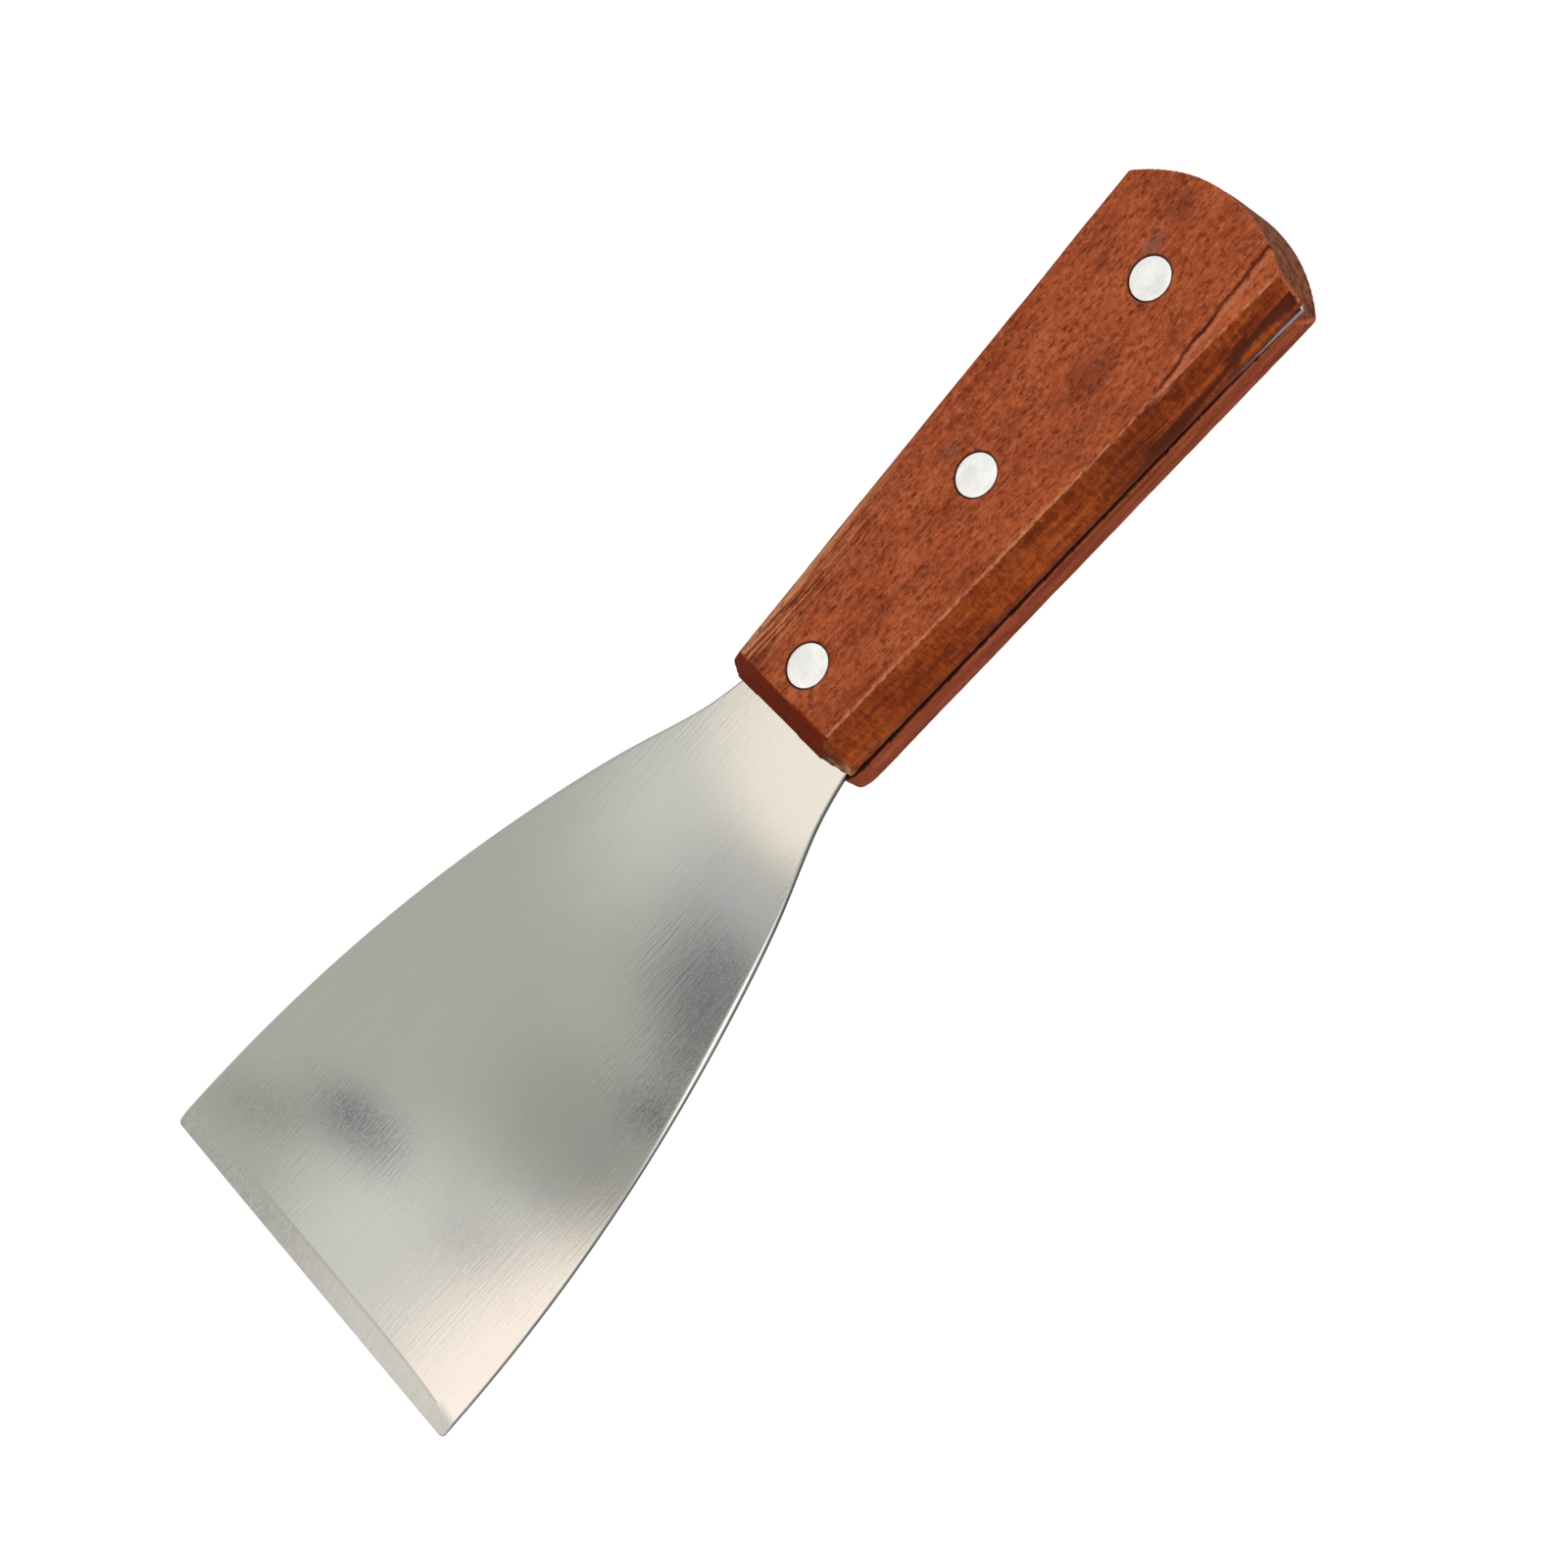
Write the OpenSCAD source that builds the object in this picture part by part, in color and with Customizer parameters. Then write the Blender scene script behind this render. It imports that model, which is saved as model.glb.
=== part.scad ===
// Stiff putty and taping knife with a full tang: one stamped steel blade, two
// wooden scales and three two-piece compression rivets. All sizes in millimetres.
// +X points at the working edge, +Y across the blade and +Z up. The knife lies on
// the lower scale's outer face, which is z = 0, with the middle of its box at x = 0.

/* [Blade] */
// Overall length, from the butt to the working edge
overall_l = 215.2; // [205:0.1:225]
// Width of the working edge
blade_w = 76; // [72:0.1:80]
// Thickness of the sheet steel, kept in the tang
blade_t = 0.8; // [0.7:0.1:1.5]
// Thickness that taper grinding leaves just behind the working edge's bevel
tip_t = 0.5; // [0.4:0.05:0.65]
// Radius of the long arc on each side of the blade
side_r = 250; // [235:1:260]
// Radius of the hollow where the blade runs into the tang
neck_r = 45; // [30:1:55]
// Narrowest width, where the tang starts
neck_w = 24.3; // [23:0.1:25.5]
// Width of the tang at the butt
tang_butt_w = 38.2; // [32:0.1:39]
// Where the tang flares out to the wood, measured from the front end of the handle
flare_at = 70; // [60:1:78]
// How far in front of the flare the tang's sides are set back
flare_in = 0.7; // [0:0.1:1.2]
// How far the tang's end stays inside the butt
tang_recess = 0.3; // [0.1:0.1:1]
// Radius that breaks the two corners of the working edge
corner_break_r = 0.8; // [0.4:0.1:2]
// Width of the bevel ground on the upper side of the working edge
bevel_w = 3.7; // [2:0.1:5]
// Thickness left at the working edge
edge_t = 0.25; // [0.15:0.05:0.35]

/* [Handle] */
// Length of the handle
handle_l = 103.8; // [98:0.1:106]
// Thickness of each scale
scale_t = 7.8; // [6:0.1:9]
// Width of the handle against the tang, at its front end
front_w = 28.2; // [26:0.1:30]
// Width of the handle against the tang, at the butt
butt_w = 38; // [34:0.1:40]
// How far each side facet leans in from the tang to the outer face
facet_in = 2.7; // [1:0.1:4]
// Height of the straight land between the tang and a facet
land_h = 0.5; // [0.3:0.1:1]
// How far the upper scale's front end slopes back
upper_slope = 4; // [1:0.1:6]
// How far the lower scale's front end slopes back
lower_slope = 1.4; // [0.5:0.1:6]
// Radius of the two front corners, seen from above
front_corner_r = 1.2; // [0.8:0.1:3]
// Radius of the rounded butt
butt_r = 27.9; // [25:0.1:32]
// How far off the middle line the arc of the upper scale's butt is centred
upper_skew = 3.4; // [0:0.1:4]
// How far off the middle line the arc of the lower scale's butt is centred
lower_skew = 0.4; // [0:0.1:4]
// How far off the middle line the arc of the tang's end is centred
tang_skew = 2.6; // [0:0.1:4]

/* [Rivets] */
// Front rivet, measured from the front end of the handle
front_rivet_at = 9.7; // [8:0.1:12]
// Middle rivet, measured from the front end of the handle
middle_rivet_at = 47.7; // [40:0.1:56]
// Rear rivet, measured from the front end of the handle
rear_rivet_at = 86.6; // [75:0.1:90]
// Diameter of a rivet's head
head_d = 7.1; // [6:0.1:9]
// Thickness of a rivet's head
head_t = 1.8; // [1:0.1:3]
// Gap around a head in its counterbore
head_gap = 0.15; // [0.05:0.01:0.3]
// Outer diameter of the hollow half's shank
tube_d = 4.5; // [4:0.1:5.5]
// Diameter of the solid half's pin, pressed into the hollow half
pin_d = 2.8; // [2:0.1:3.2]
// Gap around a shank where it passes through the tang
tang_gap = 0.2; // [0.1:0.05:0.4]

/* [Hidden] */
$fn = 96;
butt_x = -overall_l / 2;
edge_x = overall_l / 2;
front_x = butt_x + handle_l;
seat_z = scale_t;
tang_top_z = seat_z + blade_t;
handle_t = 2 * scale_t + blade_t;
// Distance from the middle line to the centre of each side arc
side_cy = side_r - blade_w / 2;
// Centre of the hollow that touches a side arc and the tang's narrowest point
neck_cy = neck_w / 2 + neck_r;
neck_x = edge_x - sqrt(pow(side_r + neck_r, 2) - pow(neck_cy + side_cy, 2));
// Where a side arc ends and its hollow begins
touch_x = edge_x + (neck_x - edge_x) * side_r / (side_r + neck_r);
touch_y = (neck_cy + side_cy) * side_r / (side_r + neck_r) - side_cy;
// Taper of the handle's sides and lean of its facets
taper_a = atan((butt_w - front_w) / 2 / handle_l);
facet_a = atan(facet_in / (scale_t - land_h));
rivet_x = [front_x - front_rivet_at, front_x - middle_rivet_at, front_x - rear_rivet_at];
// Ends of the hollow half's shank and of the pin inside it
tube_end_z = handle_t - head_t - 0.6;
bore_floor_z = head_t + 1.6;
pin_end_z = bore_floor_z + 0.8;
// Line of the tang's sides, and where the flare starts and ends
tang_slope = (tang_butt_w - neck_w) / 2 / (neck_x - butt_x);
flare_l = 10;
flare_x = [front_x - flare_at, front_x - flare_at - flare_l];
flare_y = [for (x = flare_x) neck_w / 2 + (neck_x - x) * tang_slope];
// Length over which the blade's outlines overlap where they join
lap = 4;
// Edge of the blocks that cut flat faces, and their overshoot past a surface
block = 150;
over = 1;

// Area in front of the butt's arc: skew moves the arc's centre sideways, and
// recess keeps the arc that far inside the butt
module butt_area(skew, recess) {
    translate([butt_x + butt_r, skew])
        circle(r = butt_r - recess, $fn = 180);
    translate([butt_x + butt_r, -blade_w / 2])
        square([overall_l, blade_w]);
}

// Disc whose rim is the blade's side arc on the other side of the middle line
module side_disc(side) {
    translate([edge_x, side * side_cy])
        circle(r = side_r, $fn = 720);
}

// Blade between its two side arcs, with the corners of the working edge broken.
// It reaches a little way into the neck, so that the two are one piece.
module blade_fan() {
    c = corner_break_r;
    fan_l = edge_x - touch_x + lap;
    intersection() {
        side_disc(1);
        side_disc(-1);
        translate([touch_x - lap, 0])
            polygon([
                [0, -blade_w / 2],
                for (a = [-90 : 15 : 0]) [fan_l - c + c * cos(a), c - blade_w / 2 + c * sin(a)],
                for (a = [0 : 15 : 90]) [fan_l - c + c * cos(a), blade_w / 2 - c + c * sin(a)],
                [0, blade_w / 2]
            ]);
    }
}

// Hollowed neck between the blade and the tang
module blade_neck() {
    difference() {
        translate([neck_x, -touch_y])
            square([touch_x - neck_x, 2 * touch_y]);
        for (side = [-1, 1])
            translate([neck_x, side * neck_cy])
                circle(r = neck_r, $fn = 360);
    }
}

// Tang, which widens towards the butt, flares out to the wood over its rear part
// and ends in the same arc as the handle
module tang_outline() {
    intersection() {
        polygon([
            [neck_x, -neck_w / 2],
            [neck_x + lap, 1 - neck_w / 2],
            [neck_x + lap, neck_w / 2 - 1],
            [neck_x, neck_w / 2],
            [flare_x[0], flare_y[0] - flare_in],
            [flare_x[1], flare_y[1]],
            [butt_x, tang_butt_w / 2],
            [butt_x, -tang_butt_w / 2],
            [flare_x[1], -flare_y[1]],
            [flare_x[0], flare_in - flare_y[0]]
        ]);
        butt_area(tang_skew, tang_recess);
    }
}

// What taper grinding takes off the upper side, from the handle to the bevel
module taper_cut() {
    taper_from = front_x + over;
    taper_l = edge_x - bevel_w - taper_from;
    translate([taper_from, -blade_w / 2 - over, blade_t / 2])
        rotate([0, atan((blade_t - tip_t) / 2 / taper_l), 0])
            cube([2 * taper_l, blade_w + 2 * over, blade_t]);
}

// What grinding the bevel takes off the upper side
module bevel_cut() {
    translate([edge_x - bevel_w, -blade_w / 2 - over, tip_t / 2])
        rotate([0, atan((tip_t - edge_t) / bevel_w), 0])
            cube([2 * bevel_w, blade_w + 2 * over, blade_t]);
}

module blade() {
    color([0.72, 0.72, 0.70])
        translate([0, 0, seat_z + blade_t / 2])
            difference() {
                translate([0, 0, -blade_t / 2])
                    linear_extrude(blade_t)
                        union() {
                            blade_fan();
                            blade_neck();
                            tang_outline();
                        }
                taper_cut();
                mirror([0, 0, 1])
                    taper_cut();
                bevel_cut();
                for (x = rivet_x)
                    translate([x, 0, -blade_t])
                        cylinder(d = tube_d + 2 * tang_gap, h = 2 * blade_t);
            }
}

// Outline of a scale where it meets the tang
module scale_outline(skew) {
    r = front_corner_r;
    corner_y = front_w / 2 + r * tan(taper_a) - r / cos(taper_a);
    intersection() {
        polygon([
            [butt_x, -butt_w / 2],
            for (i = [0 : 8])
                let (a = (taper_a - 90) * (1 - i / 8))
                [front_x - r + r * cos(a), -corner_y + r * sin(a)],
            for (i = [0 : 8])
                let (a = (90 - taper_a) * i / 8)
                [front_x - r + r * cos(a), corner_y + r * sin(a)],
            [butt_x, butt_w / 2]
        ]);
        butt_area(skew, 0);
    }
}

// A scale with its inner face on z = 0 and its outer face at z = scale_t
module scale_body(slope, skew) {
    slope_a = atan(slope / (scale_t - land_h));
    difference() {
        linear_extrude(scale_t)
            scale_outline(skew);
        for (side = [0, 1])
            mirror([0, side, 0])
                translate([front_x, front_w / 2, land_h])
                    rotate([0, 0, -taper_a])
                        rotate([facet_a, 0, 0])
                            translate([-block, 0, -over])
                                cube([block + handle_l, block / 5, block / 5]);
        translate([front_x, -block / 2, land_h])
            rotate([0, -slope_a, 0])
                translate([0, 0, -over])
                    cube([block / 5, block, block / 5]);
        for (x = rivet_x)
            translate([x, 0, 0]) {
                translate([0, 0, -over])
                    cylinder(d = tube_d, h = scale_t + over);
                translate([0, 0, scale_t - head_t])
                    cylinder(d = head_d + 2 * head_gap, h = head_t + over);
            }
    }
}

module upper_scale() {
    color([0.62, 0.30, 0.18])
        translate([0, 0, tang_top_z])
            scale_body(upper_slope, upper_skew);
}

module lower_scale() {
    color([0.56, 0.26, 0.15])
        translate([0, 0, seat_z])
            mirror([0, 0, 1])
                scale_body(lower_slope, lower_skew);
}

// Solid half of a rivet: its head is flush with the upper scale's outer face
module rivet_male(x) {
    color([0.93, 0.92, 0.90])
        translate([x, 0, 0]) {
            translate([0, 0, handle_t - head_t])
                cylinder(d = head_d, h = head_t);
            translate([0, 0, pin_end_z])
                cylinder(d = pin_d, h = handle_t - head_t - pin_end_z);
        }
}

// Hollow half of a rivet: its head is flush with the lower scale's outer face
module rivet_female(x) {
    color([0.90, 0.89, 0.87])
        translate([x, 0, 0])
            difference() {
                union() {
                    cylinder(d = head_d, h = head_t);
                    cylinder(d = tube_d, h = tube_end_z);
                }
                translate([0, 0, bore_floor_z])
                    cylinder(d = pin_d, h = handle_t);
            }
}

blade();
upper_scale();
lower_scale();
rivet_male(rivet_x[0]);  // front_rivet_male
rivet_female(rivet_x[0]);  // front_rivet_female
rivet_male(rivet_x[1]);  // middle_rivet_male
rivet_female(rivet_x[1]);  // middle_rivet_female
rivet_male(rivet_x[2]);  // rear_rivet_male
rivet_female(rivet_x[2]);  // rear_rivet_female
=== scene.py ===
"""Looks of a stiff, wood-handled putty knife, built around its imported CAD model.

The sheet-steel blade, the two wooden scales and the three rivets are rebuilt as
detailed meshes in the places of their CAD nodes. Shapes are worked out in
millimetres in the row frame and turned into metres when a mesh is made.
"""

import math

import bmesh
import bpy
import numpy as np
from mathutils import Matrix, Vector


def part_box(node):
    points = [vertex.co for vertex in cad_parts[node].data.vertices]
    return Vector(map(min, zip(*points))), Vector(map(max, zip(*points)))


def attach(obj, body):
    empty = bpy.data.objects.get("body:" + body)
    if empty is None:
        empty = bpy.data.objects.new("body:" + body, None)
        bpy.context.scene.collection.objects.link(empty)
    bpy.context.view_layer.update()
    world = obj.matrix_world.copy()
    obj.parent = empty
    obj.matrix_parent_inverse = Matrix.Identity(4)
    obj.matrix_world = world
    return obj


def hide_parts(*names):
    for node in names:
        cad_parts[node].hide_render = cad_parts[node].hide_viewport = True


MM = 0.001

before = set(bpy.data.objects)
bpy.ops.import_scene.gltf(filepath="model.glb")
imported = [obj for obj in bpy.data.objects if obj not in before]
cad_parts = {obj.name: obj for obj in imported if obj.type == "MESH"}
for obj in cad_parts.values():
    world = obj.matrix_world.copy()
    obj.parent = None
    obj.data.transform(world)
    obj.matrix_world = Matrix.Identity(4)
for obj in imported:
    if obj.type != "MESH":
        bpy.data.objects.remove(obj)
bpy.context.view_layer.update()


def box_mm(node):
    """Lowest and highest corner of a CAD node, in millimetres."""
    low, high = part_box(node)
    return np.array(low) / MM, np.array(high) / MM


# ---- sizes, in mm
BLADE_LOW, BLADE_HIGH = box_mm("blade")
UPPER_LOW, UPPER_HIGH = box_mm("upper_scale")
LOWER_LOW, LOWER_HIGH = box_mm("lower_scale")
BUTT_X = LOWER_LOW[0]
FRONT_X = UPPER_HIGH[0]
EDGE_X = BLADE_HIGH[0]
TANG_LOW_Z, TANG_TOP_Z = BLADE_LOW[2], BLADE_HIGH[2]
BLADE_T = TANG_TOP_Z - TANG_LOW_Z
BLADE_MID_Z = (TANG_TOP_Z + TANG_LOW_Z) / 2

# blade: the arcs of its sides and neck, the taper, the bevel and the edge
BLADE_W = BLADE_HIGH[1] - BLADE_LOW[1]
SIDE_R = 250.0
NECK_R = 45.0
NECK_W = 24.3
NECK_LEAN = 0.26
NECK_HOLLOW = 0.38
NECK_HOLLOW_AT = 7.5
NECK_HOLLOW_L = 7
TIP_T = 0.5
EDGE_T = 0.25
BEVEL_W = 3.5
EDGE_SAG = 0.06
CORNER_R = 0.8
# tang: set back in the front of the handle, then flared to the wood's sides
TANG_BUTT_W = 38.2
TANG_END_R = 27.6
TANG_SKEW = 2.6
TANG_END_RECESS = 0.3
FLARE_AT = 70.0
FLARE_L = 10.0
FLARE_IN = 0.7
# handle: the straight land of each scale's side next to the tang
LAND_H = 0.5
# rivets: the ring of air round each head, and the bores in wood and steel
HEAD_GAP = 0.16
BORE_R = 2.25
TANG_BORE_R = 2.45

# cells of the wood's surface net along X, Y and Z
NET_STEP = (0.55, 0.3, 0.3)
SEED = 11


# ---- value noise
NOISE_SIDE = 32


def value_noise(points, cell, seed):
    """Smooth noise from -1 to 1, with cells of the given size in mm."""
    table = np.random.default_rng(SEED * 1000 + seed).uniform(-1, 1, (NOISE_SIDE,) * 3)
    scaled = points / np.array(cell, float)
    base = np.floor(scaled).astype(int)
    part = scaled - base
    part = part * part * (3 - 2 * part)
    total = np.zeros(points.shape[:-1])
    for dx in (0, 1):
        for dy in (0, 1):
            for dz in (0, 1):
                at = (base + (dx, dy, dz)) % NOISE_SIDE
                weight = np.abs(1 - dx - part[..., 0]) * np.abs(1 - dy - part[..., 1])
                weight = weight * np.abs(1 - dz - part[..., 2])
                total += weight * table[at[..., 0], at[..., 1], at[..., 2]]
    return total


# ---- solids by distance field
class Cut:
    """A flat, slightly wavy sanded face through three points.

    wave and chatter are the heights of its slow and quick waves, in mm. worn says
    from 0 to 1 how pale its edges are.
    """

    def __init__(self, kind, a, b, c, inside, wave=0.0, chatter=0.0, seed=0, worn=1.0):
        self.kind, self.worn = kind, worn
        a, b, c, inside = (np.array(p, float) for p in (a, b, c, inside))
        normal = np.cross(b - a, c - a)
        normal /= np.linalg.norm(normal)
        if (inside - a) @ normal > 0:
            normal = -normal
        self.normal, self.offset = normal, a @ normal
        self.wave, self.chatter, self.seed = wave, chatter, seed

    def distance(self, points):
        d = points @ self.normal - self.offset
        if self.wave:
            d = d + self.wave * value_noise(points, (11, 9, 9), self.seed)
        if self.chatter:
            d = d + self.chatter * value_noise(points, (1.1, 3.0, 3.0), self.seed + 50)
        return d

    def normals(self, points):
        return np.broadcast_to(self.normal, points.shape)


class Arc:
    """The sanded butt: an upright cylinder that closes the handle's end."""

    kind, worn = "butt", 0.8

    def __init__(self, centre, radius, wave=0.0, seed=0):
        self.centre, self.radius = np.array(centre, float), radius
        self.wave, self.seed = wave, seed

    def distance(self, points):
        d = np.hypot(points[..., 0] - self.centre[0], points[..., 1] - self.centre[1])
        d = d - self.radius
        # in front of the centre the cylinder doesn't bound the handle
        d = np.where(points[..., 0] > self.centre[0], -self.radius, d)
        if self.wave:
            d = d + self.wave * value_noise(points, (7, 7, 9), self.seed)
        return d

    def normals(self, points):
        out = points[..., :2] - self.centre
        out = out / np.linalg.norm(out, axis=-1, keepdims=True)
        return np.concatenate([out, np.zeros(points.shape[:-1] + (1,))], axis=-1)


def rounded_max(a, b, radius):
    """Distance to what two solids share, with the edge between them rounded."""
    reach_a = np.maximum(a + radius, 0)
    reach_b = np.maximum(b + radius, 0)
    return np.minimum(np.maximum(a, b), -radius) + np.hypot(reach_a, reach_b)


def line_distance(points, start, end):
    """Distance to a line between two points, and the share of it passed there."""
    start, end = np.array(start, float), np.array(end, float)
    along = end - start
    share = np.clip((points - start) @ along / (along @ along), 0, 1)
    return np.linalg.norm(points - start - share[..., None] * along, axis=-1), share


# rounding of the edges along the slit, and how far wear reaches from an edge
SLIT_EDGE_R = 0.12
WEAR_REACH = 0.65


class Scale:
    """One wooden handle half: its faces, how worn its edges are and its groove."""

    def __init__(self, faces, edge_r, groove=None):
        self.faces, self.edge_r, self.groove = faces, edge_r, groove

    def field(self, points):
        """Signed distance to the surface, in mm: below 0 inside the wood."""
        wear = self.edge_r * (1 + 0.45 * value_noise(points, (3.5, 6, 6), 7))
        wear = wear + 0.12 * np.maximum(value_noise(points, (1.6, 4, 4), 8), 0)
        total = self.faces[0].distance(points)
        for face in self.faces[1:]:
            radius = SLIT_EDGE_R if face.kind == "inner" else wear
            total = rounded_max(total, face.distance(points), radius)
        if self.groove:
            start, end, depth = self.groove
            away, share = line_distance(points, start, end)
            cut = depth * (0.75 + 0.25 * value_noise(points, (5, 5, 5), 9)) - away
            cut = np.where(share < 0.02, cut - 0.1, cut)
            total = np.maximum(total, cut)
        return total

    def describe(self, points):
        """The nearest face's kind, and from 0 to 1 how near a worn edge is."""
        distances = np.array([face.distance(points) for face in self.faces])
        normals = np.array([face.normals(points) for face in self.faces])
        worn = np.array([face.worn for face in self.faces])
        order = np.argsort(distances, axis=0)
        first, second = order[-1], order[-2]
        at = np.arange(len(points))
        cosine = (normals[first, at] * normals[second, at]).sum(1)
        sine = np.sqrt(np.clip(1 - cosine**2, 0.01, 1))
        away = np.maximum(distances[first, at] - distances[second, at], 0) / sine
        wear = np.clip(1 - away / WEAR_REACH, 0, 1)
        wear *= np.minimum(worn[first], worn[second])
        kinds = np.array([face.kind for face in self.faces])
        return kinds[first], wear


def surface_net(field, low, high, step):
    """Quads where a field crosses zero: one vertex in each cell that it crosses."""
    axes = [np.arange(low[i] - 2 * step[i], high[i] + 3 * step[i], step[i])
            for i in range(3)]
    grid = np.stack(np.meshgrid(*axes, indexing="ij"), axis=-1)
    values = field(grid)
    cells = tuple(n - 1 for n in values.shape)
    sums, counts = np.zeros(cells + (3,)), np.zeros(cells)

    def window(array, shift):
        return array[tuple(slice(s, s + n) for s, n in zip(shift, cells))]

    for axis in range(3):
        for side_a in (0, 1):
            for side_b in (0, 1):
                shift = [side_a, side_b]
                shift.insert(axis, 0)
                far = list(shift)
                far[axis] = 1
                near_value, far_value = window(values, shift), window(values, far)
                crossed = (near_value < 0) != (far_value < 0)
                gap = np.where(crossed, near_value - far_value, 1)
                share = np.where(crossed, near_value / gap, 0)
                place = window(grid, shift).copy()
                place[..., axis] += share * step[axis]
                sums += place * crossed[..., None]
                counts += crossed
    active = counts > 0
    number = np.full(cells, -1)
    number[active] = np.arange(active.sum())
    vertices = sums[active] / counts[active][:, None]

    quads = []
    for axis in range(3):
        first, second = (axis + 1) % 3, (axis + 2) % 3
        count = list(values.shape)
        count[axis] -= 1
        inner = [slice(1, n - 1) for n in values.shape]
        inner[axis] = slice(0, count[axis])
        near = values[tuple(inner)]
        inner[axis] = slice(1, count[axis] + 1)
        far = values[tuple(inner)]
        at = np.argwhere((near < 0) != (far < 0))
        rising = (near < 0)[tuple(at.T)]
        at[:, first] += 1
        at[:, second] += 1
        corners = []
        for back_first, back_second in ((1, 1), (0, 1), (0, 0), (1, 0)):
            cell = at.copy()
            cell[:, first] -= back_first
            cell[:, second] -= back_second
            corners.append(number[tuple(cell.T)])
        ring = np.stack(corners, axis=1)
        ring[~rising] = ring[~rising][:, ::-1]
        quads.append(ring)
    return vertices, np.concatenate(quads)


SETTLE_STEPS = 4
SETTLE_REACH = 0.02


def settle(vertices, field):
    """Moves vertices onto the surface along the field's slope."""
    for _ in range(SETTLE_STEPS):
        value = field(vertices)
        slope = np.empty_like(vertices)
        for axis in range(3):
            nudge = np.zeros(3)
            nudge[axis] = SETTLE_REACH
            slope[:, axis] = field(vertices + nudge) - field(vertices - nudge)
        slope /= 2 * SETTLE_REACH
        size = np.maximum((slope**2).sum(1), 0.25)
        vertices = vertices - (value / size)[:, None] * slope
    return vertices


# ---- mesh helpers
def link_object(name, data):
    thing = bpy.data.objects.new(name, data)
    bpy.context.scene.collection.objects.link(thing)
    return thing


def new_object(name, vertices_mm, faces):
    mesh = bpy.data.meshes.new(name)
    mesh.from_pydata((np.asarray(vertices_mm) * MM).tolist(), [], [list(f) for f in faces])
    mesh.validate()
    mesh.update()
    return link_object(name, mesh)


def lathe(name, profile, centre, segments=96):
    """Closed turned piece: the profile's (radius, z) pairs run from axis to axis."""
    shape = bmesh.new()
    rings = []
    for radius, z in profile:
        if radius == 0:
            rings.append([shape.verts.new((centre[0] * MM, centre[1] * MM, z * MM))])
            continue
        ring = []
        for i in range(segments):
            turn = 2 * math.pi * i / segments
            x = centre[0] + radius * math.cos(turn)
            y = centre[1] + radius * math.sin(turn)
            ring.append(shape.verts.new((x * MM, y * MM, z * MM)))
        rings.append(ring)
    for lower, upper in zip(rings, rings[1:]):
        for i in range(segments):
            j = (i + 1) % segments
            corners = [lower[i % len(lower)], lower[j % len(lower)]]
            corners += [upper[j % len(upper)], upper[i % len(upper)]]
            shape.faces.new(list(dict.fromkeys(corners)))
    bmesh.ops.recalc_face_normals(shape, faces=shape.faces)
    mesh = bpy.data.meshes.new(name)
    shape.to_mesh(mesh)
    shape.free()
    return link_object(name, mesh)


def drill(piece, cutters):
    """Cuts turned cutters out of a piece and removes them."""
    for cutter in cutters:
        hole = piece.modifiers.new("bore", "BOOLEAN")
        hole.operation = "DIFFERENCE"
        hole.solver = "MANIFOLD"
        hole.object = cutter
    bpy.context.view_layer.update()
    graph = bpy.context.evaluated_depsgraph_get()
    drilled = bpy.data.meshes.new_from_object(piece.evaluated_get(graph))
    old = piece.data
    piece.modifiers.clear()
    piece.data = drilled
    bpy.data.meshes.remove(old)
    for cutter in cutters:
        bpy.data.objects.remove(cutter)


def vertex_array(mesh):
    """Vertex places as rows, in mm."""
    flat = np.empty(len(mesh.vertices) * 3)
    mesh.vertices.foreach_get("co", flat)
    return flat.reshape(-1, 3) / MM


def write_attribute(mesh, name, values):
    layer = mesh.attributes.new(name, "FLOAT", "POINT")
    layer.data.foreach_set("value", np.asarray(values, np.float32))


# edges sharper than this, in degrees, stay hard
SCALE_SHARP = 58
BLADE_SHARP = 32
RIVET_SHARP = 50


def shade(mesh, sharp_degrees):
    mesh.shade_smooth()
    mesh.set_sharp_from_angle(angle=math.radians(sharp_degrees))


# ---- rivets
RIVETS = {}
for place in ("front", "middle", "rear"):
    male_low, male_high = box_mm(place + "_rivet_male")
    female_low, female_high = box_mm(place + "_rivet_female")
    RIVETS[place] = {
        "centre": (male_low[:2] + male_high[:2]) / 2,
        "head_r": (male_high[0] - male_low[0]) / 2,
        "top_z": male_high[2],
        "pin_end_z": male_low[2],
        "base_z": female_low[2],
        "tube_end_z": female_high[2],
    }
HEAD_T = 1.8
PIN_R = 1.4
TUBE_R = 2.25
PIN_BORE_FLOOR_Z = 3.4


def head_profile(radius, face_z, inner_z):
    """Half section of a sanded head, from its middle to the root of its shank."""
    down = math.copysign(1, face_z - inner_z)
    dome = ((0, 0), (radius * 0.3, 0.004), (radius * 0.6, 0.014), (radius * 0.85, 0.032),
            (radius - 0.1, 0.055), (radius - 0.03, 0.09), (radius, 0.16))
    profile = [(r, face_z - drop * down) for r, drop in dome]
    return profile + [(radius, inner_z + 0.08 * down), (radius - 0.08, inner_z)]


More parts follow.
